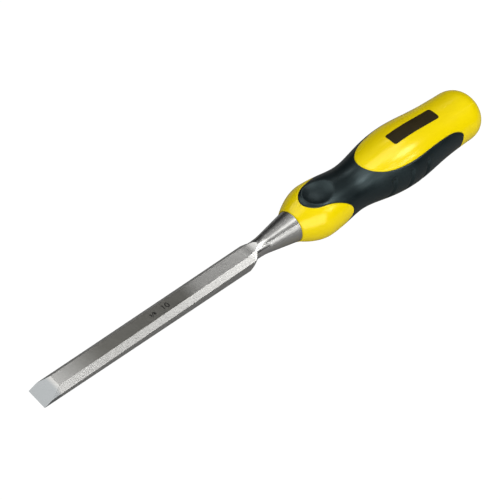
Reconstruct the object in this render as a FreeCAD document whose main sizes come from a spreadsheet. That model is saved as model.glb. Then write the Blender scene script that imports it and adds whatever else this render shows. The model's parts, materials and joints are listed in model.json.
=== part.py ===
import FreeCAD, Part
import math
import os

import Sketcher
from BOPTools import SplitAPI
from FreeCAD import Placement, Rotation, Vector

# Bench chisel with a moulded two-material handle.
# Design frame: +X runs along the handle's axis from the cutting edge to the butt, +Z is the bevelled side
# of the blade and the thumb's side of the handle, and the axis is the line y = z = 0.
# The finished pieces are then laid on a bench, on the cutting edge and the belly of the handle:
# the row's origin is the middle of the tool's box, on the bench, and +X still runs towards the butt.

sizes = {
    # blade
    "blade_width": 10.0,
    "blade_length": 104.0,        # cutting edge to the shoulder
    "back_drop": 3.9,             # flat back below the axis
    "tip_thickness": 4.0,         # at the cutting edge, before its bevel is ground
    "root_thickness": 6.7,        # at the neck's side of the shoulder
    "tip_land": 1.75,             # square side left under the side bevel, at the edge
    "root_land": 4.45,            # and at the neck's side of the shoulder
    "grind_angle": 26.0,          # cutting bevel
    "side_bevel_angle": 45.0,
    "runout_radius": 26.0,        # where the grinding wheel leaves the steel
    # neck, bolster and tang
    "neck_radius": 3.85,
    "neck_straight": 4.6,         # end of the shoulder to the foot of the bolster's cone
    "neck_blend": 26.0,
    "shoulder_angle": 27.0,
    "shoulder_round": 40.0,       # of the shoulder's slightly rounded cone
    "shoulder_clear": 1.0,        # how far the shoulder's cut runs past the steel
    "bolster_radius": 7.15,       # where the bolster enters the handle
    "bolster_length": 27.1,       # shoulder to the handle
    "spigot_length": 2.6,         # full round carried on inside the handle
    "tang_length": 58.0,
    "tang_width": 6.2,
    "tang_thickness": 4.8,
    "tang_end_share": 0.72,       # end of the tang against its root
    "notch_radius": 1.6,
    "notch_pitch": 13.0,
    # handle
    "handle_length": 113.8,
    "nose_length": 13.7,          # mouth to the crest of the nose
    "nose_fullness": 1.75,        # exponent of the nose's curve
    "waist_position": 34.3,       # mouth to the waist
    "belly_position": 66.4,       # mouth to the belly
    "butt_length": 10.6,          # rounded end of the handle
    "neck_in_share": 0.57,        # how full the handle still is halfway from the nose to the waist
    "swell_share": 0.63,          # and halfway from the waist to the belly
    "taper_share": 0.33,          # and halfway from the belly to the tail
    "mouth_lip": 0.3,             # wall of the handle round the bolster
    "nose_radius": 12.45,
    "waist_radius": 10.75,
    "belly_radius": 14.7,
    "tail_radius": 12.5,
    "nose_rise": 0.3,             # the back of the handle is a little fuller than its underside
    "waist_rise": 0.4,
    "belly_rise": 0.85,
    "tail_rise": 1.5,
    "width_ratio": 1.03,          # slightly oval, so that the tool doesn't roll
    "height_ratio": 0.97,
    "butt_fullness": 2.45,        # exponent of the rounded end
    # soft grip
    "grip_thickness": 3.0,
    "thumb_front": 5.0,           # mouth to the front of the thumb tongue
    "lobe_position": 26.2,        # mouth to the back of the nose's side lobes
    "under_front": 13.0,          # mouth to the front of the grip under the nose
    "panel_front": 39.4,          # mouth to the front of the back panel
    "panel_nose": 16.0,           # length of the panel's rounded front
    "panel_half_angle": 51.0,
    "side_margin": 18.7,          # end of the side tongues to the end of the handle
    "dish_radius": 22.0,
    "dish_position": 13.3,        # mouth to the middle of the thumb dish
    "dish_depth": 2.35,
    "scallop_first": 49.2,        # mouth to the first finger scallop
    "scallop_pitch": 10.0,
    "scallop_radius": 1.7,
    "scallop_depth": 0.9,
    # printed panel on the back of the handle
    "label_gap": 18.6,            # back panel's front to the printed panel
    "label_length": 29.0,
    "label_width": 6.6,
    "label_corner": 1.2,
    "label_thickness": 0.4,
}

# Seam of the grip's front edge, from the top of the handle round to the bottom: degrees from the top, and
# the share of the way from a named size to the side lobe.
front_seam = (
    (0.0, "thumb_front", 0.0),
    (22.0, "thumb_front", 0.09),
    (30.0, "thumb_front", 0.2),
    (36.0, "thumb_front", 0.42),
    (46.0, "thumb_front", 0.68),
    (58.5, "thumb_front", 0.87),
    (80.0, "thumb_front", 1.0),
    (104.0, "under_front", 0.76),
    (130.0, "under_front", 0.26),
    (180.0, "under_front", 0.0),
)
# Its rear edge round the side tongue: degrees from the top, and the share of the back panel's straight side.
rear_seam = (
    (59.0, 0.963),
    (66.0, 0.998),
    (90.0, 1.0),
)
panel_steps = (0.0, 25.0, 45.0, 65.0, 80.0)     # degrees round the quarter ellipse of the panel's front
panel_side_shares = (0.62, 0.8)                 # points along the panel's straight side
scallop_count = 3
notch_count = 3
nose_steps = (0, 0.25, 0.5, 0.75, 1)
butt_steps = (0.3, 0.55, 0.76, 0.9, 0.97)
least_cut = 0.01                                # mm3; a cut that removes less has missed
profile_points = 600                            # along the handle's outline, to find where it rests

doc = FreeCAD.newDocument("bench_chisel")
sheet = doc.addObject("Spreadsheet::Sheet", "Dims")
for row, (name, size) in enumerate(sizes.items(), start=1):
    sheet.set(f"A{row}", name)
    sheet.set(f"B{row}", str(size))
    sheet.setAlias(f"B{row}", name)
doc.recompute()


def value(expression):
    """What an expression over the sheet's cells comes to."""
    found = sheet.evalExpression(expression)
    return float(getattr(found, "Value", found))


def cell(name):
    return value(f"Dims.{name}")


# ---- bodies and sketches ----

def new_body(name):
    body = doc.addObject("PartDesign::Body", name)
    body.Label = name
    return body


def origin_plane(body, role):
    return next(plane for plane in body.Origin.OriginFeatures if plane.Role == role)


def attach(feature, body, role, shift=("0", "0", "0")):
    """Sets a sketch or a primitive on one of its body's origin planes, moved by expressions."""
    feature.AttachmentSupport = [(origin_plane(body, role), "")]
    feature.MapMode = "FlatFace"
    for axis, expression in zip("xyz", shift):
        if expression != "0":
            feature.setExpression(f"AttachmentOffset.Base.{axis}", expression)


def new_sketch(body, name, role, shift=("0", "0", "0")):
    sketch = body.newObject("Sketcher::SketchObject", name)
    attach(sketch, body, role, shift)
    return sketch


def hold(sketch, kind, geometry, point, expression):
    """Holds one coordinate of a point at an expression's value; the sketch's own axis holds a zero."""
    if expression == "0":
        across = -2 if kind == "DistanceX" else -1
        sketch.addConstraint(Sketcher.Constraint("PointOnObject", geometry, point, across))
        return
    index = sketch.addConstraint(
        Sketcher.Constraint(kind, -1, 1, geometry, point, value(expression)))
    sketch.setExpression(f"Constraints[{index}]", expression)


def hold_size(sketch, kind, geometry, expression):
    index = sketch.addConstraint(Sketcher.Constraint(kind, geometry, value(expression)))
    sketch.setExpression(f"Constraints[{index}]", expression)


def polygon(sketch, corners):
    """A closed outline whose corners are pairs of expressions."""
    points = [Vector(value(along), value(up), 0) for along, up in corners]
    count = len(points)
    for i in range(count):
        sketch.addGeometry(Part.LineSegment(points[i], points[(i + 1) % count]), False)
    for i in range(count):
        sketch.addConstraint(Sketcher.Constraint("Coincident", i, 2, (i + 1) % count, 1))
    for i, (along, up) in enumerate(corners):
        hold(sketch, "DistanceX", i, 1, along)
        hold(sketch, "DistanceY", i, 1, up)


def ellipse(sketch, half_width, half_height, rise):
    """An upright section of the handle: wider than it is high, its centre above the axis by the rise."""
    centre = Vector(0, value(rise), 0)
    wide = centre + Vector(value(half_width), 0, 0)
    high = centre + Vector(0, value(half_height), 0)
    sketch.addGeometry(Part.Ellipse(wide, high, centre), False)
    sketch.exposeInternalGeometry(0)
    long_axis, short_axis, centre_point = 1, 2, 3
    hold(sketch, "DistanceX", 0, centre_point, "0")
    hold(sketch, "DistanceY", 0, centre_point, rise)
    sketch.addConstraint(Sketcher.Constraint("Horizontal", long_axis))
    hold_size(sketch, "Distance", long_axis, f"2 * ({half_width})")
    hold_size(sketch, "Distance", short_axis, f"2 * ({half_height})")


def set_size(feature, name, expression):
    setattr(feature, name, value(expression))
    feature.setExpression(name, expression)


def solid_volume(body):
    doc.recompute()
    return body.Shape.Volume


def must_remove(body, before, feature):
    """A cut that points away from the solid removes nothing and shows no error."""
    if solid_volume(body) > before - least_cut:
        raise RuntimeError(f"{feature.Name} cuts nothing")


# ---- the blade: edge, bevels, neck, bolster and tang are one forging ----

shoulder = "Dims.blade_length"
mouth = "(Dims.blade_length + Dims.bolster_length)"
spigot_end = f"({mouth} + Dims.spigot_length)"
tang_end = f"({spigot_end} + Dims.tang_length)"
corner_reach = "sqrt((Dims.blade_width / 2)^2 + Dims.back_drop^2)"
neck_start = f"({shoulder} + ({corner_reach} - Dims.neck_radius) / tan(Dims.shoulder_angle * 1 deg))"
neck_foot = f"({neck_start} + Dims.neck_straight)"
clear = "(3 * Dims.blade_width)"           # reaches past the blade on every side
mouth_radius = "(Dims.bolster_radius + Dims.mouth_lip)"
tail = "(Dims.handle_length - Dims.butt_length)"
side_end = "(Dims.handle_length - Dims.side_margin)"


def turned_steel(body):
    """Neck, cone and the spigot that carries on inside the handle."""
    outline = new_sketch(body, "bolster_outline", "XZ_Plane")
    polygon(outline, [
        (shoulder, "0"), (shoulder, "Dims.neck_radius"), (neck_foot, "Dims.neck_radius"),
        (mouth, "Dims.bolster_radius"), (spigot_end, "Dims.bolster_radius"), (spigot_end, "0")])
    bolster = body.newObject("PartDesign::Revolution", "bolster")
    bolster.Profile = outline
    bolster.ReferenceAxis = (outline, ["H_Axis"])
    bolster.Angle = 360.0
    doc.recompute()
    foot = value(neck_foot)
    edges = [f"Edge{i}" for i, edge in enumerate(bolster.Shape.Edges, start=1)
             if isinstance(edge.Curve, Part.Circle) and abs(edge.Curve.Center.x - foot) < 0.01]
    blend = body.newObject("PartDesign::Fillet", "neck_blend")
    blend.Base = (bolster, edges)
    set_size(blend, "Radius", "Dims.neck_blend")
    doc.recompute()


def bar_section(body, name, along, thickness, land):
    """Flat back, two square lands, two side bevels and the flat top."""
    section = new_sketch(body, name, "YZ_Plane", ("0", "0", along))
    half = "Dims.blade_width / 2"
    inner = f"({half} - ({thickness} - {land}) / tan(Dims.side_bevel_angle * 1 deg))"
    back = "-Dims.back_drop"
    polygon(section, [
        (f"-{half}", back), (half, back), (half, f"{back} + {land}"), (inner, f"{back} + {thickness}"),
        (f"-{inner}", f"{back} + {thickness}"), (f"-{half}", f"{back} + {land}")])
    return section


def forged_bar(body):
    tip = bar_section(body, "tip_section", "0", "Dims.tip_thickness", "Dims.tip_land")
    root = bar_section(body, "root_section", neck_start, "Dims.root_thickness", "Dims.root_land")
    bar = body.newObject("PartDesign::AdditiveLoft", "bar")
    bar.Profile = tip
    bar.Sections = [root]
    bar.Ruled = True
    doc.recompute()


def turned_shoulder(body):
    """The slightly rounded cone that takes the bar's corners down to the round neck."""
    before = solid_volume(body)
    outline = new_sketch(body, "shoulder_outline", "XZ_Plane")
    corner = Vector(value(shoulder), value(corner_reach), 0)
    foot = Vector(value(neck_start), cell("neck_radius"), 0)
    chord = foot - corner
    outward = Vector(-chord.y, chord.x, 0).normalize()
    bulge = chord.Length**2 / (8 * cell("shoulder_round"))
    outline.addGeometry(Part.Arc(corner, (corner + foot) / 2 + outward * bulge, foot), False)
    past = f"{neck_start} + Dims.shoulder_clear"
    above = f"{corner_reach} + Dims.shoulder_clear"
    places = [(neck_start, "Dims.neck_radius"), (past, "Dims.neck_radius"), (past, above), (shoulder, above),
              (shoulder, corner_reach)]
    points = [Vector(value(along), value(up), 0) for along, up in places]
    for start, end in zip(points, points[1:]):
        outline.addGeometry(Part.LineSegment(start, end), False)
    for i in (1, 2, 3):
        outline.addConstraint(Sketcher.Constraint("Coincident", i, 2, i + 1, 1))
    outline.addConstraint(Sketcher.Constraint("Coincident", 0, 1, 1, 1))
    outline.addConstraint(Sketcher.Constraint("Coincident", 0, 2, 4, 2))
    for i, (along, up) in enumerate(places[:-1], start=1):
        hold(outline, "DistanceX", i, 1, along)
        hold(outline, "DistanceY", i, 1, up)
    hold(outline, "DistanceX", 4, 2, shoulder)
    hold(outline, "DistanceY", 4, 2, corner_reach)
    hold_size(outline, "Radius", 0, "Dims.shoulder_round")
    cone = body.newObject("PartDesign::Groove", "shoulder_cone")
    cone.Profile = outline
    cone.ReferenceAxis = (outline, ["H_Axis"])
    cone.Angle = 360.0
    must_remove(body, before, cone)


def top_runout(body):
    """The hollow left on the neck where the wheel that ground the blade's top lifted off."""
    before = solid_volume(body)
    top = "Dims.root_thickness - Dims.back_drop"
    wheel = body.newObject("PartDesign::SubtractiveCylinder", "top_runout")
    set_size(wheel, "Radius", "Dims.runout_radius")
    set_size(wheel, "Height", clear)
    attach(wheel, body, "XZ_Plane", (shoulder, f"{top} + Dims.runout_radius", f"-{clear} / 2"))
    must_remove(body, before, wheel)


def cutting_bevel(body):
    before = solid_volume(body)
    outline = new_sketch(body, "bevel_outline", "XZ_Plane")
    polygon(outline, [
        ("0", "-Dims.back_drop"),
        (f"{clear} / tan(Dims.grind_angle * 1 deg)", f"{clear} - Dims.back_drop"),
        (f"-{clear}", f"{clear} - Dims.back_drop"), (f"-{clear}", "-Dims.back_drop")])
    bevel = body.newObject("PartDesign::Pocket", "cutting_bevel")
    bevel.Profile = outline
    bevel.Type = "ThroughAll"
    bevel.Midplane = True
    must_remove(body, before, bevel)


def tang_section(body, name, along, share):
    section = new_sketch(body, name, "YZ_Plane", ("0", "0", along))
    half_width = f"(Dims.tang_width * {share} / 2)"
    half_thickness = f"(Dims.tang_thickness * {share} / 2)"
    polygon(section, [
        (f"-{half_width}", f"-{half_thickness}"), (half_width, f"-{half_thickness}"),
        (half_width, half_thickness), (f"-{half_width}", half_thickness)])
    return section


def tang(body):
    """The square spike inside the handle, with notches that the plastic fills, so that it can't pull out."""
    root = tang_section(body, "tang_root", spigot_end, "1")
    end = tang_section(body, "tang_tip", tang_end, "Dims.tang_end_share")
    spike = body.newObject("PartDesign::AdditiveLoft", "tang")
    spike.Profile = root
    spike.Sections = [end]
    spike.Ruled = True
    before = solid_volume(body)
    outline = new_sketch(body, "notch_outline", "XY_Plane")
    for i in range(notch_count):
        along = f"{spigot_end} + {i + 1} * Dims.notch_pitch"
        for j, side in enumerate(("", "-")):
            geometry = 2 * i + j
            across = f"{side}Dims.tang_width / 2"
            centre = Vector(value(along), value(across), 0)
            outline.addGeometry(Part.Circle(centre, Vector(0, 0, 1), cell("notch_radius")), False)
            hold(outline, "DistanceX", geometry, 3, along)
            hold(outline, "DistanceY", geometry, 3, across)
            hold_size(outline, "Radius", geometry, "Dims.notch_radius")
    notches = body.newObject("PartDesign::Pocket", "notches")
    notches.Profile = outline
    notches.Type = "ThroughAll"
    notches.Midplane = True
    must_remove(body, before, notches)


def make_blade():
    body = new_body("blade")
    turned_steel(body)
    forged_bar(body)
    turned_shoulder(body)
    top_runout(body)
    cutting_bevel(body)
    tang(body)
    return body


# ---- the handle's outer form, and the same form let in by a depth ----

def handle_stations():
    """Where the handle's sections stand, from the mouth to the butt, with the radius and the rise of each."""
    stations = []
    for share in nose_steps:
        fullness = f"(1 - {1 - share}^Dims.nose_fullness)"
        radius = f"{mouth_radius} + (Dims.nose_radius - {mouth_radius}) * {fullness}"
        stations.append((f"{mouth} + {share} * Dims.nose_length", radius, "Dims.nose_rise"))

    def halfway(near, far, near_radius, far_radius, share, near_rise, far_rise):
        radius = f"{near_radius} + {share} * ({far_radius} - {near_radius})"
        return f"{mouth} + ({near} + {far}) / 2", radius, f"({near_rise} + {far_rise}) / 2"

    stations.append(halfway("Dims.nose_length", "Dims.waist_position", "Dims.waist_radius",
                            "Dims.nose_radius", "Dims.neck_in_share", "Dims.nose_rise", "Dims.waist_rise"))
    stations.append((f"{mouth} + Dims.waist_position", "Dims.waist_radius", "Dims.waist_rise"))
    stations.append(halfway("Dims.waist_position", "Dims.belly_position", "Dims.waist_radius",
                            "Dims.belly_radius", "Dims.swell_share", "Dims.waist_rise", "Dims.belly_rise"))
    stations.append((f"{mouth} + Dims.belly_position", "Dims.belly_radius", "Dims.belly_rise"))
    stations.append(halfway("Dims.belly_position", tail, "Dims.tail_radius", "Dims.belly_radius",
                            "Dims.taper_share", "Dims.belly_rise", "Dims.tail_rise"))
    stations.append((f"{mouth} + {tail}", "Dims.tail_radius", "Dims.tail_rise"))
    for share in butt_steps:
        along = f"{mouth} + {tail} + {share} * Dims.butt_length"
        radius = f"Dims.tail_radius * (1 - {share}^Dims.butt_fullness)^(1 / Dims.butt_fullness)"
        stations.append((along, radius, "Dims.tail_rise"))
    return stations


def handle_loft(name, depth="0"):
    body = new_body(name)
    sections = []
    for i, (along, radius, rise) in enumerate(handle_stations()):
        section = new_sketch(body, f"{name}_section_{i}", "YZ_Plane", ("0", "0", along))
        inner = f"({radius} - {depth})"
        ellipse(section, f"Dims.width_ratio * {inner}", f"Dims.height_ratio * {inner}", rise)
        sections.append(section)
    loft = body.newObject("PartDesign::AdditiveLoft", f"{name}_loft")
    loft.Profile = sections[0]
    loft.Sections = sections[1:]
    doc.recompute()
    return body


# ---- the soft grip, moulded over the core between two seams that run round the handle ----

def seam_fence(points):
    """A band standing out from the axis along a seam of (degrees from the top, place along X) points."""
    inner = (cell("waist_radius") - cell("grip_thickness")) / 2
    outer = 2 * cell("belly_radius")
    other_half = [(-angle, along) for angle, along in reversed(points) if 0 < angle < 180]
    around = [(math.radians(angle), along) for angle, along in points + other_half]
    edges = []
    for reach in (inner, outer):
        curve = Part.BSplineCurve()
        curve.interpolate(
            Points=[Vector(along, -reach * math.sin(angle), reach * math.cos(angle))
                    for angle, along in around],
            PeriodicFlag=True)
        edges.append(curve.toShape())
    return Part.makeRuledSurface(*edges)


def front_seam_points():
    start = value(mouth)
    return [(angle, start + cell(near) + share * (cell("lobe_position") - cell(near)))
            for angle, near, share in front_seam]


def rear_seam_points():
    """Round the panel's elliptical front, along its side, round the side tongue's end, and back below."""
    start = value(mouth) + cell("panel_front")
    wide = cell("panel_half_angle")
    points = []
    for step in panel_steps:
        bend = math.radians(step)
        points.append((wide * math.sin(bend), start + cell("panel_nose") * (1 - math.cos(bend))))
    length = value(side_end) - cell("panel_front")
    points += [(wide, start + share * length) for share in panel_side_shares]
    points += [(angle, start + share * length) for angle, share in rear_seam]
    below = [(180 - angle, along) for angle, along in reversed(points[:-1])]
    return points + below


def make_grip_band(outer, bed):
    """The full-thickness ring of grip between its seams, before the dish and the scallops are sunk in it."""
    sleeve = outer.Shape.cut(bed.Shape)
    fences = [seam_fence(front_seam_points()), seam_fence(rear_seam_points())]
    pieces = sorted(SplitAPI.slice(sleeve, fences, "Split").Solids, key=lambda piece: piece.CenterOfMass.x)
    if len(pieces) != 3:
        raise RuntimeError(f"the seams cut the sleeve into {len(pieces)} pieces, not 3")
    feature = doc.addObject("Part::Feature", "grip_band")
    feature.Shape = pieces[1]
    return feature


def make_thumb_ball():
    """The ball whose lowest part sinks the thumb dish."""
    body = new_body("thumb_ball")
    ball = body.newObject("PartDesign::AdditiveSphere", "ball")
    set_size(ball, "Radius", "Dims.dish_radius")
    floor = "Dims.nose_rise + Dims.height_ratio * Dims.nose_radius - Dims.dish_depth"
    attach(ball, body, "XY_Plane", (f"{mouth} + Dims.dish_position", "0", f"{floor} + Dims.dish_radius"))
    doc.recompute()
    return body


def make_scallop_cutter():
    """Upright rods beside the grip, which scoop the finger scallops from both of its sides."""
    body = new_body("scallop_rods")
    body.AllowCompound = True
    reach = "(Dims.width_ratio * Dims.belly_radius + Dims.scallop_radius - Dims.scallop_depth)"
    outline = new_sketch(body, "scallop_outline", "XY_Plane")
    for i in range(scallop_count):
        along = f"{mouth} + Dims.scallop_first + {i} * Dims.scallop_pitch"
        for j, side in enumerate(("", "-")):
            geometry = 2 * i + j
            across = f"{side}{reach}"
            centre = Vector(value(along), value(across), 0)
            outline.addGeometry(Part.Circle(centre, Vector(0, 0, 1), cell("scallop_radius")), False)
            hold(outline, "DistanceX", geometry, 3, along)
            hold(outline, "DistanceY", geometry, 3, across)
            hold_size(outline, "Radius", geometry, "Dims.scallop_radius")
    rods = body.newObject("PartDesign::Pad", "rods")
    rods.Profile = outline
    rods.Midplane = True
    set_size(rods, "Length", "4 * Dims.belly_radius")
    doc.recompute()
    return body


def make_label_block():
    """A rounded block over the printed panel; the handle's form trims it to a thin curved patch."""
    body = new_body("label_block")
    outline = new_sketch(body, "label_outline", "XY_Plane")
    near = f"({mouth} + Dims.panel_front + Dims.label_gap)"
    far = f"({near} + Dims.label_length)"
    half = "(Dims.label_width / 2)"
    polygon(outline, [(near, f"-{half}"), (far, f"-{half}"), (far, half), (near, half)])
    block = body.newObject("PartDesign::Pad", "block")
    block.Profile = outline
    set_size(block, "Length", "2 * Dims.belly_radius")
    doc.recompute()
    upright = [f"Edge{i}" for i, edge in enumerate(block.Shape.Edges, start=1)
               if edge.BoundBox.ZLength > cell("belly_radius")]
    corners = body.newObject("PartDesign::Fillet", "corners")
    corners.Base = (block, upright)
    set_size(corners, "Radius", "Dims.label_corner")
    doc.recompute()
    return body


# ---- the pose on the bench ----

def rest_pose(form, shapes):
    """Turns the tool about Y until its cutting edge and its belly stand level, and sets it on z = 0."""
    edge_drop = cell("back_drop")
    outline = [point for wire in form.Shape.slice(Vector(0, 1, 0), 0)
               for point in wire.discretize(Number=profile_points)]
    tilt = max(math.atan2(-edge_drop - point.z, point.x) for point in outline)
    turn = Rotation(Vector(0, 1, 0), -math.degrees(tilt))
    turned = Part.Compound([shape.copy() for shape in shapes])
    turned.Placement = Placement(Vector(), turn)
    box = turned.optimalBoundingBox(False)
    return Placement(Vector(-(box.XMin + box.XMax) / 2, 0, -box.ZMin), turn)


def boolean(kind, name, base, tool):
    result = doc.addObject(kind, name)
    result.Base = base
    result.Tool = tool
    result.Label = name
    return result


def joined(name, shapes):
    result = doc.addObject("Part::MultiFuse", name)
    result.Shapes = shapes
    return result


# ---- assembly ----

blade = make_blade()
handle_form = handle_loft("handle_form")
grip_bed = handle_loft("grip_bed", "Dims.grip_thickness")
label_bed = handle_loft("label_bed", "Dims.label_thickness")
grip_band = make_grip_band(handle_form, grip_bed)
thumb_ball = make_thumb_ball()
scallop_rods = make_scallop_cutter()
label_block = make_label_block()

pose = rest_pose(handle_form, [blade.Shape, handle_form.Shape])
for leaf in (blade, handle_form, label_bed, grip_band, thumb_ball, scallop_rods, label_block):
    leaf.Placement = pose

label_cover = boolean("Part::Cut", "label_cover", handle_form, label_bed)
label_panel = boolean("Part::Common", "label_panel", label_cover, label_block)
soft_grip = boolean("Part::Cut", "soft_grip", grip_band, joined("grip_cutters", [thumb_ball, scallop_rods]))
handle_core = boolean("Part::Cut", "handle_core", handle_form,
                      joined("let_in", [grip_band, blade, label_panel]))
doc.recompute()

nodes = (blade, handle_core, soft_grip, label_panel)


def check_document():
    for item in doc.Objects:
        if "Invalid" in item.State or "Error" in item.State:
            raise RuntimeError(f"{item.Name} failed: {item.State}")
    for node in nodes:
        if node.Shape.isNull() or not node.Shape.isValid():
            raise RuntimeError(f"{node.Label} has no valid shape")
        print(f"{node.Label}: {len(node.Shape.Solids)} solid, {node.Shape.Volume:.1f} mm3")


check_document()
os.makedirs("parts", exist_ok=True)
for node in nodes:
    node.Shape.exportStep(f"parts/{node.Label}.step")
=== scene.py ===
import json
import math

import bpy
import numpy as np
from mathutils import Matrix, Vector
from mathutils.geometry import delaunay_2d_cdt


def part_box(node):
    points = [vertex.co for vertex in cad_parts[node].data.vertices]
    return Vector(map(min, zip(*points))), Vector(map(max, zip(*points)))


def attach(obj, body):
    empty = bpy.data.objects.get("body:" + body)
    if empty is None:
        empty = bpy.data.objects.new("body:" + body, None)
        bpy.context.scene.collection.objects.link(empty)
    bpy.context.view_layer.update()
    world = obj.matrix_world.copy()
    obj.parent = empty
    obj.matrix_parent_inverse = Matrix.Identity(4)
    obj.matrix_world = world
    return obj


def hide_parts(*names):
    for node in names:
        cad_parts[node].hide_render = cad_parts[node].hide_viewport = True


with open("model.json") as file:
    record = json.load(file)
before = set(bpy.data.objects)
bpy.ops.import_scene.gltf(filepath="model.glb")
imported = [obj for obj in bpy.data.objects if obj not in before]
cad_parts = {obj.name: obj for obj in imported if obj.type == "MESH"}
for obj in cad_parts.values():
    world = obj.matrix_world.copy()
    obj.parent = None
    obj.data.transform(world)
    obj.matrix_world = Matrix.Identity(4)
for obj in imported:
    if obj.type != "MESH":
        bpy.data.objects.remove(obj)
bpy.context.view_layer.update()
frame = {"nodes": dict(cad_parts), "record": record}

# Bench chisel lying on its cutting edge and the belly of its handle.
# Shapes are worked out in millimetres along the tool itself: x from the cutting edge to the butt,
# z towards the thumb's side. toRow lays them down in metres as the steel lies.
backMount = next(m for m in frame["record"]["mounts"] if m["name"] == "blade_back")
tilt = math.atan2(backMount["axis"][0], -backMount["axis"][2])
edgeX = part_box("blade")[0].x
backDrop = 3.9


def toRow(points):
    p = np.asarray(points, float).reshape(-1, 3) / 1000
    c, s = math.cos(tilt), math.sin(tilt)
    drop = backDrop / 1000
    x = p[:, 0] * c - p[:, 2] * s + edgeX - drop * s
    z = p[:, 0] * s + p[:, 2] * c + drop * c
    return np.column_stack([x, p[:, 1], z])


def newPiece(name, points, faces, slotName, materials):
    mesh = bpy.data.meshes.new(name)
    mesh.from_pydata([tuple(p) for p in toRow(points)], [], [tuple(int(i) for i in f) for f in faces])
    mesh.validate()
    for material in materials:
        mesh.materials.append(material)
    mesh.shade_smooth()
    piece = bpy.data.objects.new(name, mesh)
    bpy.context.scene.collection.objects.link(piece)
    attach(piece, "root")
    return piece


# Handle profile

handle = {
    "mouth": 131.1,          # where the bolster goes in
    "length": 113.8,
    "noseLength": 13.7,
    "noseFullness": 1.75,
    "mouthRadius": 7.45,
    "noseRadius": 12.45,
    "waistAt": 34.3,
    "waistRadius": 10.75,
    "bellyAt": 66.4,
    "bellyRadius": 14.7,
    "tailRadius": 12.5,
    "buttLength": 10.6,
    "noseIn": 0.57,          # shares of the way, halfway between two named sections
    "waistOut": 0.63,
    "bellyIn": 0.33,
    "noseRise": 0.3,
    "waistRise": 0.4,
    "bellyRise": 0.85,
    "tailRise": 1.5,
    "wide": 1.03,            # the section's two half axes, as shares of the radius
    "high": 0.97,
    "buttFullness": 2.45,
    "tailSlope": -0.015,
}
unroll = 13.0                # mm of unrolled width per radian round the handle
halfTurn = math.pi * unroll


def naturalSpline(knots, values, startSlope=None, endSlope=None):
    x, y = np.asarray(knots, float), np.asarray(values, float)
    n = len(x)
    gap = np.diff(x)
    system, right = np.zeros((n, n)), np.zeros(n)
    for i in range(1, n - 1):
        system[i, i - 1:i + 2] = gap[i - 1], 2 * (gap[i - 1] + gap[i]), gap[i]
        right[i] = 6 * ((y[i + 1] - y[i]) / gap[i] - (y[i] - y[i - 1]) / gap[i - 1])
    system[0, 0] = system[-1, -1] = 1
    if startSlope is not None:
        system[0, :2] = 2 * gap[0], gap[0]
        right[0] = 6 * ((y[1] - y[0]) / gap[0] - startSlope)
    if endSlope is not None:
        system[-1, -2:] = gap[-1], 2 * gap[-1]
        right[-1] = 6 * (endSlope - (y[-1] - y[-2]) / gap[-1])
    bend = np.linalg.solve(system, right)

    def at(q):
        q = np.asarray(q, float)
        i = np.clip(np.searchsorted(x, q) - 1, 0, n - 2)
        a, b = (x[i + 1] - q) / gap[i], (q - x[i]) / gap[i]
        return (a * y[i] + b * y[i + 1]
                + ((a**3 - a) * bend[i] + (b**3 - b) * bend[i + 1]) * gap[i]**2 / 6)
    return at


hv = handle
hv["tailAt"] = hv["length"] - hv["buttLength"]


def between(near, far, share):
    return near + share * (far - near)


radiusKnots = [hv["noseLength"], (hv["noseLength"] + hv["waistAt"]) / 2,
               hv["waistAt"], (hv["waistAt"] + hv["bellyAt"]) / 2, hv["bellyAt"],
               (hv["bellyAt"] + hv["tailAt"]) / 2, hv["tailAt"]]
radiusValues = [hv["noseRadius"], between(hv["waistRadius"], hv["noseRadius"], hv["noseIn"]),
                hv["waistRadius"], between(hv["waistRadius"], hv["bellyRadius"], hv["waistOut"]),
                hv["bellyRadius"], between(hv["tailRadius"], hv["bellyRadius"], hv["bellyIn"]),
                hv["tailRadius"]]
barrel = naturalSpline(radiusKnots, radiusValues, 0.0, hv["tailSlope"])
riseKnots = [0, hv["noseLength"], hv["waistAt"], hv["bellyAt"], hv["tailAt"]]
riseValues = [hv["noseRise"], hv["noseRise"], hv["waistRise"], hv["bellyRise"], hv["tailRise"]]
lift = naturalSpline(riseKnots, riseValues, 0.0, 0.0)


def profileRadius(x):
    along = np.asarray(x, float) - hv["mouth"]
    left = np.clip(1 - along / hv["noseLength"], 0, 1)
    nose = hv["noseRadius"] - (hv["noseRadius"] - hv["mouthRadius"]) * left**hv["noseFullness"]
    body = barrel(np.clip(along, hv["noseLength"], hv["tailAt"]))
    past = np.clip((along - hv["tailAt"]) / hv["buttLength"], 0, 1)
    butt = ((hv["tailRadius"] + hv["tailSlope"] * (along - hv["tailAt"]))
            * (1 - past**hv["buttFullness"])**(1 / hv["buttFullness"]))
    return np.where(along < hv["noseLength"], nose, np.where(along < hv["tailAt"], body, butt))


def profileRise(x):
    return lift(np.clip(np.asarray(x, float) - hv["mouth"], 0, hv["tailAt"]))


def reach(x, turn):
    # distance from the axis to the handle's skin; turn is the angle from the top towards the near side
    radius, rise = np.maximum(profileRadius(x), 1e-6), profileRise(x)
    a, b = hv["wide"] * radius, hv["high"] * radius
    sn, cs = np.sin(turn), np.cos(turn)
    p = (sn / a)**2 + (cs / b)**2
    q = -2 * rise * cs / b**2
    r = rise**2 / b**2 - 1
    return (-q + np.sqrt(np.maximum(q * q - 4 * p * r, 0))) / (2 * p)


def skin(x, turn, out=0.0, cut=None):
    d = reach(x, turn) + out
    if cut is not None:
        d = cut(x, turn, d)
    return np.column_stack([x, -d * np.sin(turn), d * np.cos(turn)])


# Seams of the soft grip, as loops over the unrolled handle

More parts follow.
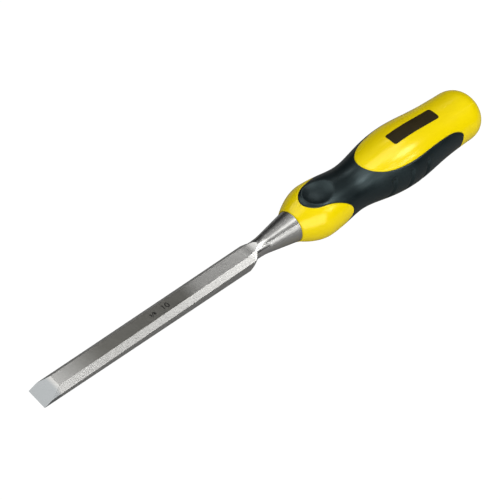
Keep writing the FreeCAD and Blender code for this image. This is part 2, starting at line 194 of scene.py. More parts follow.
grip = {
    "thickness": 3.0,
    "thumbFront": 5.0,
    "lobeAt": 26.2,
    "underFront": 13.0,
    "panelFront": 39.4,
    "panelNose": 16.0,
    "panelHalfAngle": 51.0,
    "sideEnd": 95.1,
    "coreLip": 0.55,         # rounding of the hard plastic along the seam
    "gripLip": 0.38,
    "dishRadius": 22.0,
    "dishAt": 13.3,
    "dishDepth": 2.35,
    "dishRim": 0.16,
    "grooveFirst": 49.2,
    "groovePitch": 10.0,
    "grooveCount": 3,
    "grooveHalfWidth": 1.45,
    "grooveDepth": 0.85,
    "grooveFrom": 69.0,      # degrees from the top
    "grooveTo": 112.0,
    "grooveLean": 0.02,      # mm forward per degree
    "grooveSteep": 1.25,     # above 1, the groove has a flat floor
    "bedGap": 0.03,          # between the grip's inside and the bed
}
gv = grip
# angle from the top, and share of the way from the foremost point to the rearmost one
topFront = [(0.0, 0.0), (22.0, 0.09), (30.0, 0.2), (36.0, 0.42),
            (46.0, 0.68), (58.5, 0.87), (80.0, 1.0)]
underFront = [(104.0, 0.76), (130.0, 0.26), (180.0, 0.0)]
sideTongue = [(59.0, 0.963), (66.0, 0.998), (90.0, 1.0)]
panelTurns = [math.radians(b) for b in (0, 25, 45, 65, 80)]
panelSides = (0.62, 0.8)

frontSeam = [(a, gv["thumbFront"] + s * (gv["lobeAt"] - gv["thumbFront"])) for a, s in topFront]
frontSeam += [(a, gv["underFront"] + s * (gv["lobeAt"] - gv["underFront"])) for a, s in underFront]
panelRun = gv["sideEnd"] - gv["panelFront"]
rearSeam = [(gv["panelHalfAngle"] * math.sin(b),
             gv["panelFront"] + gv["panelNose"] * (1 - math.cos(b))) for b in panelTurns]
rearSeam += [(gv["panelHalfAngle"], gv["panelFront"] + s * panelRun) for s in panelSides]
rearSeam += [(a, gv["panelFront"] + s * panelRun) for a, s in sideTongue]
rearSeam += [(180 - a, x) for a, x in reversed(rearSeam[:-1])]

seamSamples = 12000
seamSpare = 40               # steps kept past the upright plane at each end


def seamLoop(points, spacing):
    # one full turn and a bit more at both ends, evenly spaced, as (x, unrolled)
    ring = [(x + hv["mouth"], math.radians(a) * unroll) for a, x in points]
    ring = [(x, -v) for x, v in reversed(ring) if 1e-6 < v < halfTurn - 1e-6] + ring
    p = np.array([(x, v + shift * 2 * halfTurn) for shift in (-1, 0, 1) for x, v in ring])
    along = np.concatenate([[0], np.cumsum(np.hypot(*np.diff(p, axis=0).T))])
    fx, fv = naturalSpline(along, p[:, 0]), naturalSpline(along, p[:, 1])
    t = np.linspace(0, along[-1], seamSamples)
    x, v = fx(t), fv(t)
    keep = (v > -halfTurn * 0.5) & (v < halfTurn * 1.5)
    start, end = np.argmax(keep), len(keep) - np.argmax(keep[::-1])
    x, v = x[start:end], v[start:end]
    far = np.concatenate([[0], np.cumsum(np.hypot(np.diff(x), np.diff(v)))])
    # the middle stretch starts and ends exactly on the handle's upright plane
    onTop = far[np.argmin(np.abs(v))]
    under = far[np.argmin(np.abs(v - halfTurn))]
    count = int(round((under - onTop) / spacing))
    grid = onTop + (under - onTop) * np.arange(-seamSpare, count + seamSpare + 1) / count
    grid = grid[(grid > 0) & (grid < far[-1])]
    loop = np.column_stack([np.interp(grid, far, x), np.interp(grid, far, v)])
    loop[np.argmin(np.abs(loop[:, 1])), 1] = 0.0
    loop[np.argmin(np.abs(loop[:, 1] - halfTurn)), 1] = halfTurn
    return loop


def loopNormals(loop):
    along = np.gradient(loop, axis=0)
    along /= np.linalg.norm(along, axis=1)[:, None]
    return np.column_stack([along[:, 1], -along[:, 0]])     # towards the butt


gapBatch = 4000              # points measured at a time, to save memory


def signedGap(points, loop):
    # distance from a seam, positive on its butt's side
    a, b = loop[:-1], loop[1:]
    run = b - a
    size = np.maximum((run**2).sum(1), 1e-12)
    best, side = np.zeros(len(points)), np.zeros(len(points))
    for first in range(0, len(points), gapBatch):
        batch = slice(first, first + gapBatch)
        p = points[batch, None, :] - a[None]
        t = np.clip((p * run[None]).sum(2) / size[None], 0, 1)
        away = p - t[..., None] * run[None]
        gap = np.hypot(away[..., 0], away[..., 1])
        near = gap.argmin(1)
        row = np.arange(len(near))
        best[batch] = gap[row, near]
        cross = away[row, near, 0] * run[near, 1] - away[row, near, 1] * run[near, 0]
        side[batch] = np.sign(cross)
    return best * side


def rounded(distance, radius):
    e = np.clip(distance, 0, radius)
    return -radius + np.sqrt(np.maximum(radius**2 - (radius - e)**2, 0))


dishCentre = np.array([hv["mouth"] + gv["dishAt"], 0.0,
                       hv["noseRise"] + hv["high"] * hv["noseRadius"] - gv["dishDepth"] + gv["dishRadius"]])
noBall = 1e3                 # stands for a ray that misses the ball


def dished(x, turn, d):
    # the ball's near side, met along the ray from the axis, joined to the skin with a small rim
    up = np.cos(turn)
    off = x - dishCentre[0]
    b = up * dishCentre[2]
    c = dishCentre[2]**2 + off**2 - gv["dishRadius"]**2
    inside = b * b - c
    ball = np.where((inside > 0) & (up > 0), b - np.sqrt(np.maximum(inside, 0)), noBall)
    rim = gv["dishRim"]
    blend = np.clip(0.5 + 0.5 * (ball - d) / (2 * rim), 0, 1)
    return ball * (1 - blend) + d * blend - 2 * rim * blend * (1 - blend)


def smoothRamp(q):
    q = np.clip(q, 0, 1)
    return q * q * (3 - 2 * q)


radianDegrees = 57.3
grooveSpots = [hv["mouth"] + gv["grooveFirst"] + i * gv["groovePitch"] for i in range(gv["grooveCount"])]


def grooved(x, turn, d):
    angle = np.degrees(np.abs(turn))
    for at in grooveSpots:
        lean = at - gv["grooveLean"] * (angle - 90)
        endGap = np.maximum(gv["grooveFrom"] - angle, angle - gv["grooveTo"]) / radianDegrees * d
        radial = np.hypot(x - lean, np.maximum(endGap, 0))
        share = 1 - radial / gv["grooveHalfWidth"]
        d = d - gv["grooveDepth"] * smoothRamp(gv["grooveSteep"] * share)
    return d


def gripCut(x, turn, d):
    return dished(x, turn, grooved(x, turn, d))


# Cell layout over half of the handle: grid points, seam points and rows beside each seam

layout = {
    "grid": 0.75,
    "seamStep": 0.36,
    "coreRows": (0.0, 0.07, 0.16, 0.28, 0.42, 0.6, 0.9),
    "gripRows": (0.0, 0.05, 0.12, 0.21, 0.33, 0.5, 0.85),
    "endStep": 0.42,
    "endClear": 0.2,         # grid points keep this far from the handle's two ends
    "rowSquash": 0.87,       # spacing across the rows of the grid, as a share of "grid"
    "rimRows": (-1.0, -0.6, -0.35, -0.15, 0.0, 0.15, 0.35, 0.6, 1.0),
    "rimSpokes": 73,
    "rimWalk": (0.5, 11, 400),       # from, to, steps
    "rimClear": 0.95,        # rim points nearer to the seam than this are left out
    "seamRoom": 1.25,
    "fineHalf": 2.6,         # small cells round each groove
    "fineStep": (0.26, 0.5),
    "finePast": 9,           # degrees past the groove's ends
    "coarseHalf": 2.8,       # where the grid gives way to them
    "coarsePast": 10,
    "onSeam": 2e-3,          # corners nearer to a seam than this lie on it
    "onPlane": 1e-4,         # and those this near to the upright plane lie on that
    "merge": 1e-5,
    "buttAngles": ((3, 72, 24), (75, 89, 14)),       # from, to, count
}
lv = layout
frontLoop = seamLoop(frontSeam, lv["seamStep"])
rearLoop = seamLoop(rearSeam, lv["seamStep"])
xNear, xFar = hv["mouth"], hv["mouth"] + hv["tailAt"]


def halfOnly(points):
    return points[(points[:, 1] >= 0) & (points[:, 1] <= halfTurn)]


def rowPoints(loop, buttRows, noseRows):
    # rows beside a seam, at the given distances on the butt's side and on the nose's side
    normals = loopNormals(loop)
    return [halfOnly(loop + sign * row * normals)
            for sign, rows in ((1, buttRows), (-1, noseRows)) for row in rows[1:]]


def ovalRim():
    # where the ball meets the skin, walked outwards from the dish's middle
    out = []
    step = np.linspace(*lv["rimWalk"])
    for k in np.linspace(0, math.pi, lv["rimSpokes"]):
        x = dishCentre[0] + step * math.cos(k)
        v = step * math.sin(k)
        d = reach(x, v / unroll)
        off = x - dishCentre[0]
        up = np.cos(v / unroll)
        ball = up * dishCentre[2] - np.sqrt(np.maximum(
            (up * dishCentre[2])**2 - dishCentre[2]**2 - off**2 + gv["dishRadius"]**2, 0))
        first = np.argmax(ball > d)
        out.append((x[first], max(v[first], 0.0)))
    rim = np.array(out)
    rim[0, 1] = rim[-1, 1] = 0.0
    return rim


rim = ovalRim()
rimCentre = np.array([dishCentre[0], 0.0])
rimAway = rim - rimCentre
rimFar = np.linalg.norm(rimAway, axis=1)[:, None]
rimRows = [rimCentre + rimAway * (1 + push / rimFar) for push in lv["rimRows"]]
rimRows = [np.column_stack([r[:, 0], np.maximum(r[:, 1], 0)]) for r in rimRows]

# every second row of the grid is shifted by half a step
gridX = np.linspace(xNear, xFar, len(np.arange(xNear, xFar + 1e-6, lv["grid"])))
shiftedX = np.concatenate([[xNear], (gridX[:-1] + gridX[1:]) / 2, [xFar]])
rowsV = int(round(halfTurn / (lv["grid"] * lv["rowSquash"])))
grid = []
for j, v in enumerate(np.linspace(0, halfTurn, rowsV + 1)):
    xs = gridX if j % 2 == 0 or j == rowsV else shiftedX
    grid.append(np.column_stack([xs, np.full(len(xs), v)]))
grid = np.concatenate(grid)
grid = grid[(grid[:, 0] > xNear + lv["endClear"]) & (grid[:, 0] < xFar - lv["endClear"])]


def grooveSpan(past):
    return [math.radians(a) * unroll for a in (gv["grooveFrom"] - past, gv["grooveTo"] + past)]


fine = []
nearFine = np.zeros(len(grid), bool)
coarseFrom, coarseTo = grooveSpan(lv["coarsePast"])
for at in grooveSpots:
    xs = np.arange(at - lv["fineHalf"], at + lv["fineHalf"] + 0.01, lv["fineStep"][0])
    vs = np.arange(*grooveSpan(lv["finePast"]), lv["fineStep"][1])
    fine += [(x, v) for v in vs for x in xs]
    nearFine |= ((np.abs(grid[:, 0] - at) < lv["coarseHalf"])
                 & (grid[:, 1] > coarseFrom) & (grid[:, 1] < coarseTo))
grid = np.concatenate([grid[~nearFine], np.array(fine)])


def clearOf(points, loop, gap):
    return points[np.abs(signedGap(points, loop)) > gap]


rimWhole = np.concatenate([rim, rim[-2::-1] * (1, -1)])
for loop in (frontLoop, rearLoop, rimWhole):
    grid = clearOf(grid, loop, lv["seamRoom"])
endV = np.linspace(0, halfTurn, int(round(halfTurn / lv["endStep"])) + 1)
ends = [np.column_stack([np.full(len(endV), x), endV]) for x in (xNear, xFar)]

# the seams' own points come first, as their edges are kept
edges, stack = [], []
total = 0
for loop in (halfOnly(frontLoop), halfOnly(rearLoop)):
    edges += [(total + i, total + i + 1) for i in range(len(loop) - 1)]
    stack.append(loop)
    total += len(loop)
stack += rowPoints(frontLoop, lv["gripRows"], lv["coreRows"])
stack += rowPoints(rearLoop, lv["coreRows"], lv["gripRows"])
stack += [clearOf(row, frontLoop, lv["rimClear"]) for row in rimRows]
cloud = np.concatenate(stack + [grid] + ends)
print("handle layout:", len(cloud), "points")
found = delaunay_2d_cdt([Vector(p) for p in cloud], edges, [], 0, lv["merge"], False)
plane = np.array([tuple(p) for p in found[0]])
for v in (0.0, halfTurn):
    plane[np.abs(plane[:, 1] - v) < lv["onPlane"], 1] = v
cells = np.array([f for f in found[2] if len(f) == 3])
print("handle layout:", len(plane), "corners,", len(cells), "cells")

frontGap, rearGap = signedGap(plane, frontLoop), signedGap(plane, rearLoop)
middle = plane[cells].mean(axis=1)
cellFront, cellRear = signedGap(middle, frontLoop), signedGap(middle, rearLoop)
isGrip = (cellFront > 0) & (cellRear < 0)
onSeam = (np.abs(frontGap) < lv["onSeam"]) | (np.abs(rearGap) < lv["onSeam"])
gapIn = np.minimum(np.abs(frontGap), np.abs(rearGap))
gapIn[onSeam] = 0.0

weldStep = 2e-4              # points that round to the same step are one


class Shell:
    # gathers half sheets and their mirror images into one closed mesh

    def __init__(self):
        self.points, self.faces = [], []
        self.total = 0

    def add(self, points, faces):
        self.points.append(np.asarray(points, float))
        self.faces += [tuple(i + self.total for i in f) for f in faces]
        self.total += len(points)

    def addHalf(self, points, faces):
        self.add(points, faces)
        self.add(points * (1, -1, 1), [tuple(reversed(f)) for f in faces])

    def joined(self):
        points = np.concatenate(self.points)
        key = np.round(points / weldStep).astype(np.int64)
        first, back = np.unique(key, axis=0, return_index=True, return_inverse=True)[1:]
        back = back.reshape(-1)
        faces = []
        for f in self.faces:
            g = [int(back[i]) for i in f]
            g = [a for i, a in enumerate(g) if a != g[i - 1]]
            if len(g) > 2 and len(set(g)) == len(g):
                faces.append(g)
        return points[first], faces


def usedOnly(points, faces):
    used = np.unique(faces)
    place = np.full(len(points), -1)
    place[used] = np.arange(len(used))
    return used, [tuple(int(place[i]) for i in f) for f in faces]


turns = plane[:, 1] / unroll
seamWallRows = (0.35, 0.7, 1.0)      # shares of the way down to the bed


def bandFaces(rows, n):
    # four-sided faces between rows of n points
    return [(r * n + i, r * n + i + 1, (r + 1) * n + i + 1, (r + 1) * n + i)
            for r in range(rows - 1) for i in range(n - 1)]


def seamWalls(shell, loop, topOut, bottomOut, cutTop, flip):
    # the wall under a seam, from the lip down to the bed
    half = halfOnly(loop)
    turn = half[:, 1] / unroll
    rows = [skin(half[:, 0], turn, topOut, cutTop)]
    bottom = skin(half[:, 0], turn, bottomOut)
    for share in seamWallRows:
        rows.append(rows[0] * (1 - share) + bottom * share)
    faces = bandFaces(len(rows), len(half))
    shell.addHalf(np.concatenate(rows), [f[::-1] for f in faces] if flip else faces)


# Hard yellow core

coreShell = Shell()
used, faces = usedOnly(plane, cells[~isGrip])
lip = rounded(gapIn[used], gv["coreLip"])
coreShell.addHalf(skin(plane[used, 0], turns[used], lip), faces)
used, faces = usedOnly(plane, cells[isGrip])
coreShell.addHalf(skin(plane[used, 0], turns[used], -gv["thickness"]), faces)
seamWalls(coreShell, frontLoop, -gv["coreLip"], -gv["thickness"], None, False)
seamWalls(coreShell, rearLoop, -gv["coreLip"], -gv["thickness"], None, True)

# butt: rings from the tail to the pole, about the handle's own middle
endTurn = endV / unroll
tailRing = skin(np.full(len(endTurn), xFar), endTurn)
around = np.arctan2(-tailRing[:, 1] / hv["wide"], (tailRing[:, 2] - hv["tailRise"]) / hv["high"])
rings = [tailRing]
for theta in np.concatenate([np.linspace(*run) for run in lv["buttAngles"]]):
    x = xFar + hv["buttLength"] * math.sin(math.radians(theta))**(2 / hv["buttFullness"])
    radius = float(profileRadius(x))
    rings.append(np.column_stack([np.full(len(around), x), -hv["wide"] * radius * np.sin(around),
                                  hv["tailRise"] + hv["high"] * radius * np.cos(around)]))
n = len(endTurn)
faces = [(a, d, c, b) for a, b, c, d in bandFaces(len(rings), n)]
pole = len(rings) * n
faces += [(pole - n + i, pole, pole - n + i + 1) for i in range(n - 1)]
poleAt = np.array([[hv["mouth"] + hv["length"], 0, hv["tailRise"]]])
coreShell.addHalf(np.concatenate(rings + [poleAt]), faces)

# mouth: a rounded lip round the steel, and the socket behind it
mouthLip = {
    "rings": ((-0.1, 7.38), (-0.15, 7.3), (-0.1, 7.22), (0.1, 7.17)),     # behind the mouth, radius
    "socketRadius": 7.17,
    "socketDepth": 2.6,
    "floorRadius": 3.0,
}
rings = [skin(np.full(n, xNear), endTurn)]
outward = rings[0] * (0, 1, 1)
outward /= np.linalg.norm(outward, axis=1)[:, None]
depth = mouthLip["socketDepth"]
for x, radius in mouthLip["rings"] + ((depth, mouthLip["socketRadius"]), (depth, mouthLip["floorRadius"])):
    rings.append(outward * radius + (xNear + x, 0, 0))
faces = bandFaces(len(rings), n)
pole = len(rings) * n
faces += [(pole - n + i, pole - n + i + 1, pole) for i in range(n - 1)]
coreShell.addHalf(np.concatenate(rings + [np.array([[xNear + depth, 0, 0]])]), faces)

# Soft grip

gripShell = Shell()
used, faces = usedOnly(plane, cells[isGrip])
lip = rounded(gapIn[used], gv["gripLip"])
gripShell.addHalf(skin(plane[used, 0], turns[used], lip, gripCut), faces)
inside = -gv["thickness"] + gv["bedGap"]
gripShell.addHalf(skin(plane[used, 0], turns[used], inside), [f[::-1] for f in faces])
seamWalls(gripShell, frontLoop, -gv["gripLip"], inside, gripCut, True)
seamWalls(gripShell, rearLoop, -gv["gripLip"], inside, gripCut, False)
print("handle shells:", coreShell.total, gripShell.total)


# Shared effects, as node groups

def setInput(tree, socket, value):
    # a plain value is set, an output is linked
    if isinstance(value, bpy.types.NodeSocket):
        tree.links.new(value, socket)
    else:
        socket.default_value = value


def mathNode(tree, operation, first, second=None):
    node = tree.nodes.new("ShaderNodeMath")
    node.operation = operation
    setInput(tree, node.inputs[0], first)
    if second is not None:
        setInput(tree, node.inputs[1], second)
    return node.outputs[0]


def rampNode(tree, value, fromLow, fromHigh, toLow=0.0, toHigh=1.0):
    node = tree.nodes.new("ShaderNodeMapRange")
    node.interpolation_type = "SMOOTHSTEP"
    setInput(tree, node.inputs["Value"], value)
    for label, setting in (("From Min", fromLow), ("From Max", fromHigh),
                           ("To Min", toLow), ("To Max", toHigh)):
        node.inputs[label].default_value = setting
    return node.outputs["Result"]


def mixColour(tree, factor, first, second):
    node = tree.nodes.new("ShaderNodeMix")
    node.data_type = "RGBA"
    for i, value in ((0, factor), (6, first), (7, second)):
        setInput(tree, node.inputs[i], value)
    return node.outputs[2]


def noiseNode(tree, vector, scale, detail, roughness=0.5):
    node = tree.nodes.new("ShaderNodeTexNoise")
    for label, value in (("Vector", vector), ("Scale", scale),
                         ("Detail", detail), ("Roughness", roughness)):
        setInput(tree, node.inputs[label], value)
    return node.outputs["Fac"]


def mappingNode(tree, vector, location=(0, 0, 0), rotation=(0, 0, 0), scale=(1, 1, 1)):
    node = tree.nodes.new("ShaderNodeMapping")
    for label, value in (("Vector", vector), ("Location", location),
                         ("Rotation", rotation), ("Scale", scale)):
        setInput(tree, node.inputs[label], value)
    return node.outputs["Vector"]


def newGroup(name, scales, outputs):
    group = bpy.data.node_groups.new(name, "ShaderNodeTree")
    group.interface.new_socket(name="Place", in_out="INPUT", socket_type="NodeSocketVector")
    for label, scale in scales:
        socket = group.interface.new_socket(name=label, in_out="INPUT", socket_type="NodeSocketFloat")
        socket.default_value = scale
    for label in outputs:
        group.interface.new_socket(name=label, in_out="OUTPUT", socket_type="NodeSocketFloat")
    given, result = group.nodes.new("NodeGroupInput"), group.nodes.new("NodeGroupOutput")
    return group, given.outputs, result.inputs


def groupNode(tree, group, place, scales):
    node = tree.nodes.new("ShaderNodeGroup")
    node.node_tree = group
    tree.links.new(place, node.inputs["Place"])
    for label, scale in scales.items():
        node.inputs[label].default_value = scale
    return node.outputs


grainLook = {
    "detail": 3.0,
    "markTurn": (0.5, 0.3, 0.7),
    "markStretch": (0.12, 1.0, 1.0),
    "markDetail": 4.0,
    "markMask": (0.62, 0.74),
}


def grainGroup():
    # fine moulded grain with slow unevenness, and a scatter of small rubbed marks
    look = grainLook
    scales = (("Grain Scale", 2600.0), ("Cloud Scale", 70.0), ("Mark Scale", 240.0))
    group, given, result = newGroup("mouldedGrain", scales, ("Grain", "Cloud", "Marks"))
    for label, output in (("Grain Scale", "Grain"), ("Cloud Scale", "Cloud")):
        noise = noiseNode(group, given["Place"], given[label], look["detail"])
        group.links.new(noise, result[output])
    stretched = mappingNode(group, given["Place"], rotation=look["markTurn"], scale=look["markStretch"])
    marks = noiseNode(group, stretched, given["Mark Scale"], look["markDetail"])
    group.links.new(rampNode(group, marks, *look["markMask"]), result["Marks"])
    return group


grindLook = {
    # output, share of the line scale, detail, squash along the lines
    "lines": (("Fine", 1.0, 5.0, 0.012), ("Broad", 0.16, 4.0, 0.03)),
    "roughness": 0.6,
}


def grindGroup():
    # lines left by a grinding belt, in two widths, along X of the given coordinates
    group, given, result = newGroup("grindLines", (("Line Scale", 3000.0),), ("Fine", "Broad"))
    for output, share, detail, length in grindLook["lines"]:
        stretched = mappingNode(group, given["Place"], scale=(length, 1.0, 1.0))
        scale = mathNode(group, "MULTIPLY", given["Line Scale"], share)
        group.links.new(noiseNode(group, stretched, scale, detail, grindLook["roughness"]), result[output])
    return group


mouldedGrain, grindLines = grainGroup(), grindGroup()
print("effects: moulded grain, grind lines")


# Materials

def newMaterial(name):
    material = bpy.data.materials.new(name)
    material.use_nodes = True
    tree = material.node_tree
    tree.nodes.clear()
    output = tree.nodes.new("ShaderNodeOutputMaterial")
    surface = tree.nodes.new("ShaderNodeBsdfPrincipled")
    tree.links.new(surface.outputs["BSDF"], output.inputs["Surface"])
    return material, tree, surface.inputs


def toolPlace(tree):
    # coordinates along the tool, in metres: X from the cutting edge, Z towards the thumb's side
    coordinates = tree.nodes.new("ShaderNodeTexCoord")
    turned = Matrix.Rotation(tilt, 3, "Y") @ Vector(toRow([(0, 0, 0)])[0])
    return mappingNode(tree, coordinates.outputs["Object"], location=-turned, rotation=(0, tilt, 0))


def addBump(tree, surface, height, strength, distance):
    bump = tree.nodes.new("ShaderNodeBump")
    bump.inputs["Strength"].default_value = strength
    bump.inputs["Distance"].default_value = distance
    tree.links.new(height, bump.inputs["Height"])
    tree.links.new(bump.outputs["Normal"], surface["Normal"])


yellowLook = {
    "colour": (0.985, 0.765, 0.0, 1),
    "shade": (0.955, 0.73, 0.0, 1),
    "shadeMask": (0.35, 0.7),
    "rubbed": (1, 0.83, 0.15, 1),
    "rubbedShare": 0.05,
    "rubbedRough": 0.12,
    "roughness": (0.18, 0.23),
    "roughMask": (0.3, 0.75),
    "shine": 0.85,
    "shineTint": (1, 0.88, 0.42, 1),
    "scales": {"Grain Scale": 1500.0, "Cloud Scale": 45.0},
    "bump": (0.12, 0.00003),
}

rubberLook = {
    "colour": (0.0025, 0.0055, 0.0065, 1),
    "shade": (0.005, 0.0095, 0.011, 1),
    "shadeMask": (0.35, 0.7),
    "roughness": (0.3, 0.39),
    "roughMask": (0.3, 0.75),
    "shine": 0.62,
    "shineTint": (0.74, 0.97, 1, 1),
    "scales": {"Grain Scale": 2600.0, "Cloud Scale": 90.0, "Mark Scale": 320.0},
    "bump": (0.35, 0.00006),
}

labelLook = {
    "colour": (0.016, 0.011, 0.003, 1),
    "shade": (0.035, 0.025, 0.006, 1),
    "roughness": (0.45, 0.55),
    "roughMask": (0.3, 0.7),
    "shine": 0.15,
    "scales": {"Cloud Scale": 260.0},
    "bump": (0.15, 0.00003),
}

etchLook = {
    "colour": (0.008, 0.008, 0.007, 1),
    "shade": (0.03, 0.029, 0.027, 1),
    "shadeMask": (0.35, 0.65),
    "roughness": (0.55, 0.7),
    "roughMask": (0.3, 0.7),
    "shine": 0.25,
    "scales": {"Cloud Scale": 1400.0},
    "bump": (0.2, 0.00002),
}


def grainyMaterial(name, look):
    material, tree, surface = newMaterial(name)
    grain = groupNode(tree, mouldedGrain, toolPlace(tree), look["scales"])
    cloud = grain["Cloud"]
    shade = rampNode(tree, cloud, *look["shadeMask"]) if "shadeMask" in look else cloud
    colour = mixColour(tree, shade, look["colour"], look["shade"])
    rough = rampNode(tree, cloud, *look["roughMask"], *look["roughness"])
    if "rubbed" in look:
        rubbed = mathNode(tree, "MULTIPLY", grain["Marks"], look["rubbedShare"])
        colour = mixColour(tree, rubbed, colour, look["rubbed"])
        rough = mathNode(tree, "ADD", rough, mathNode(tree, "MULTIPLY", grain["Marks"], look["rubbedRough"]))
    tree.links.new(colour, surface["Base Color"])
    tree.links.new(rough, surface["Roughness"])
    surface["Specular IOR Level"].default_value = look["shine"]
    if "shineTint" in look:
        surface["Specular Tint"].default_value = look["shineTint"]
    addBump(tree, surface, grain["Grain"], *look["bump"])
    return material


steelLook = {
    "colour": (0.64, 0.635, 0.615, 1),
    "dark": (0.55, 0.545, 0.525, 1),
    "toneMask": (0.36, 0.64),
    "fineShare": 0.7,            # of the fine and the broad lines in the tone
    "broadShare": 0.3,
    "beltTurn": (0.2, 0.15, math.radians(62)),
    "beltScale": 2600.0,
    "ringSquash": 0.02,
    "ringScale": 3200.0,
    "paintedShade": 0.76,                # how far the painted shade darkens the middle of the top face
    "paintedShadeColour": (0.12, 0.115, 0.095, 1),
    "paintedShadeFrom": (0.006, 0.033),
    "paintedShadeTo": (0.082, 0.07),
    "paintedShadeSide": (0.0029, 0.0027),
    "turned": (0.1045, 0.1085),  # where the turned neck takes over from the ground bar
    "turnedPolish": 0.06,
    "bevel": (0.0085, 0.0065),   # where the cutting bevel takes over from the bar
    "bevelShare": 0.75,
    "bevelColour": (0.32, 0.345, 0.36, 1),
    "roughness": (0.3, 0.33),
    "roughMask": (0.3, 0.7),
    "bump": (0.012, 0.00002),
}


def steelMaterial():
    look = steelLook
    material, tree, surface = newMaterial("groundSteel")

    def times(first, second):
        return mathNode(tree, "MULTIPLY", first, second)

    place = toolPlace(tree)
    axes = tree.nodes.new("ShaderNodeSeparateXYZ")
    tree.links.new(place, axes.inputs[0])
    along, across, height = axes.outputs

    # belt lines lean across the flat faces; turning lines run round the neck and the cone
    leaning = mappingNode(tree, place, rotation=look["beltTurn"])
    belt = groupNode(tree, grindLines, leaning, {"Line Scale": look["beltScale"]})
    circling = tree.nodes.new("ShaderNodeCombineXYZ")
    for i, value in enumerate((times(across, look["ringSquash"]), along, times(height, look["ringSquash"]))):
        tree.links.new(value, circling.inputs[i])
    rings = groupNode(tree, grindLines, circling.outputs[0], {"Line Scale": look["ringScale"]})
    isTurned = rampNode(tree, along, *look["turned"])
    isGround = mathNode(tree, "SUBTRACT", 1.0, isTurned)
    fine, broad = (mathNode(tree, "ADD", times(belt[k], isGround), times(rings[k], isTurned))
                   for k in ("Fine", "Broad"))
    tone = mathNode(tree, "ADD", times(fine, look["fineShare"]), times(broad, look["broadShare"]))
    colour = mixColour(tree, rampNode(tree, tone, *look["toneMask"]), look["dark"], look["colour"])

    # painted shade: a darker colour over the middle of the top face, fading out towards the bevel, the neck
    # and the sides
    paintedShade = times(rampNode(tree, along, *look["paintedShadeFrom"], 0, look["paintedShade"]),
                 rampNode(tree, along, *look["paintedShadeTo"]))
    paintedShade = times(paintedShade, rampNode(tree, mathNode(tree, "ABSOLUTE", across), *look["paintedShadeSide"]))
    colour = mixColour(tree, paintedShade, colour, look["paintedShadeColour"])
    isBevel = rampNode(tree, along, *look["bevel"])
    colour = mixColour(tree, times(isBevel, look["bevelShare"]), colour, look["bevelColour"])
    tree.links.new(colour, surface["Base Color"])
    rough = rampNode(tree, tone, *look["roughMask"], *look["roughness"])
    rough = mathNode(tree, "SUBTRACT", rough, times(isTurned, look["turnedPolish"]))
    tree.links.new(rough, surface["Roughness"])
    surface["Metallic"].default_value = 1.0
    addBump(tree, surface, tone, *look["bump"])
    return material


yellow, rubber = grainyMaterial("yellowPlastic", yellowLook), grainyMaterial("blackRubber", rubberLook)
steel, labelInk = steelMaterial(), grainyMaterial("printedFoil", labelLook)

corePiece = newPiece("handleCore", *coreShell.joined(), "handle_plastic", [yellow])
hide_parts("handle_core")
gripPiece = newPiece("softGrip", *gripShell.joined(), "grip_rubber", [rubber])
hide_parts("soft_grip")

blade = frame["nodes"]["blade"]
for i in range(len(blade.material_slots)):
    blade.material_slots[i].material = steel

# Printed patch on the rear panel: a thin rounded foil that follows the handle's curve

labelPatch = {
    "from": 58.0,            # from the mouth
    "length": 29.0,
    "width": 6.6,
    "corner": 1.2,
    "cornerSteps": 8,
    "proud": 0.05,
    "depth": 0.2,
    "step": 0.33,            # between points of the outline
    "cell": 0.4,             # between points inside it
    "cellFrom": 0.35,
    "cellTo": 0.3,
    "fitSteps": 6,
}


def makeLabel():
    lp = labelPatch
    half, corner = lp["width"] / 2, lp["corner"]
    far, side = lp["length"] - corner, half - corner
    bend = []
    for cx, cy, first in ((far, side, 0), (corner, side, 90), (corner, -side, 180), (far, -side, 270)):
        for k in range(lp["cornerSteps"] + 1):
            a = math.radians(first + k * 90 / lp["cornerSteps"])
            bend.append((cx + corner * math.cos(a), cy + corner * math.sin(a)))
    edge = []
    for (x0, y0), (x1, y1) in zip(bend, bend[1:] + bend[:1]):
        count = max(1, int(round(math.hypot(x1 - x0, y1 - y0) / lp["step"])))
        edge += [(x0 + (x1 - x0) * i / count, y0 + (y1 - y0) * i / count) for i in range(count)]

    xs = np.arange(lp["cellFrom"], lp["length"] - lp["cellTo"], lp["cell"])
    ys = np.arange(-half + lp["cellFrom"], half - lp["cellTo"], lp["cell"])
    inside = [(x, y) for x in xs for y in ys
              if min(x, lp["length"] - x) > corner or abs(y) < half - corner]
    ring = [(i, (i + 1) % len(edge)) for i in range(len(edge))]
    whole = [list(range(len(edge)))]
    found = delaunay_2d_cdt([Vector(p) for p in edge + inside], ring, whole, 1, lv["merge"], False)
    flat = np.array([tuple(p) for p in found[0]])
    top = [tuple(f) for f in found[2]]

    def onSkin(out):
        x = hv["mouth"] + lp["from"] + flat[:, 0]
        turn = np.zeros(len(flat))
        for _ in range(lp["fitSteps"]):
            turn = np.arcsin(np.clip(flat[:, 1] / (reach(x, turn) + out), -1, 1))
        return skin(x, turn, out)

    n = len(flat)
    faces = top + [tuple(i + n for i in reversed(f)) for f in top]
    borders = {}
    for f in top:
        for pair in zip(f, f[1:] + f[:1]):
            if pair[::-1] in borders:
                del borders[pair[::-1]]
            else:
                borders[pair] = True
    faces += [(b, a, a + n, b + n) for a, b in borders]
    return np.concatenate([onSkin(lp["proud"]), onSkin(-lp["depth"])]), faces


labelPiece = newPiece("labelPatch", *makeLabel(), "label_print", [labelInk])
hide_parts("label_panel")
print("pieces: core, grip, label")

# Size numbers etched into the top of the bar: thin dark strokes, a hair above the steel

etching = {
    "height": 2.5,
    "stroke": 0.42,
    "thinnest": 0.55,        # stroke of a mark of no size, as a share
    "pitch": 0.78,           # from digit to digit, in heights
    "proud": 0.012,
    "sunk": 0.05,
    "faceAtEdge": 0.1,       # the bar's top face, as a height at the edge and a slope
    "faceSlope": 0.0248,
    "marks": (("10", 60.6, 1.0), ("3", 54.7, 0.5), ("/", 55.6, 0.8), ("8", 56.7, 0.5)),
}
et = etching


